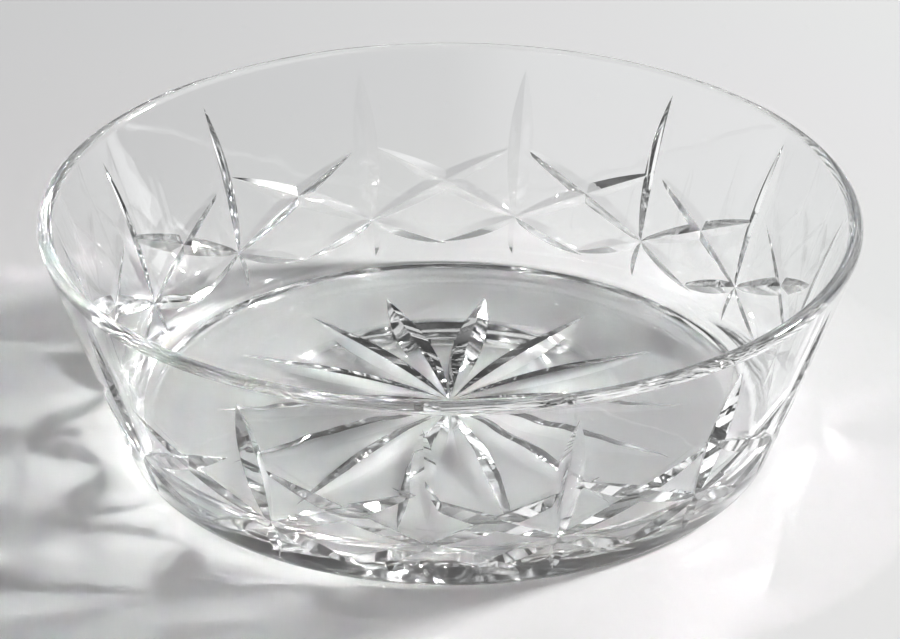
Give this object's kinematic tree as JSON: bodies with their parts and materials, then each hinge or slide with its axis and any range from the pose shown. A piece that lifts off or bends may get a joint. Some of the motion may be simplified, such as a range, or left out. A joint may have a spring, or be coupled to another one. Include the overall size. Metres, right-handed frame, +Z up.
{
  "type": "dessert bowl",
  "caption": "Round clear cut-glass dessert bowl: straight flared wall with mitre-cut stars and upright spikes, rounded lip, flat foot ring round a shallow ground hollow, and a star cut underneath.",
  "frame": {"origin": "middle of the underside, on the surface that the bowl stands on", "axes": "+Z up through the mouth, -Y towards the viewer of the picture, +X to the viewer's right"},
  "size_m": [0.14, 0.14, 0.0415],
  "materials": {
    "glass": "clear colourless lead crystal, polished inside and out, with polished V-shaped cuts"
  },
  "bodies": {
    "root": {"bowl": "glass"}
  },
  "joints": []
}
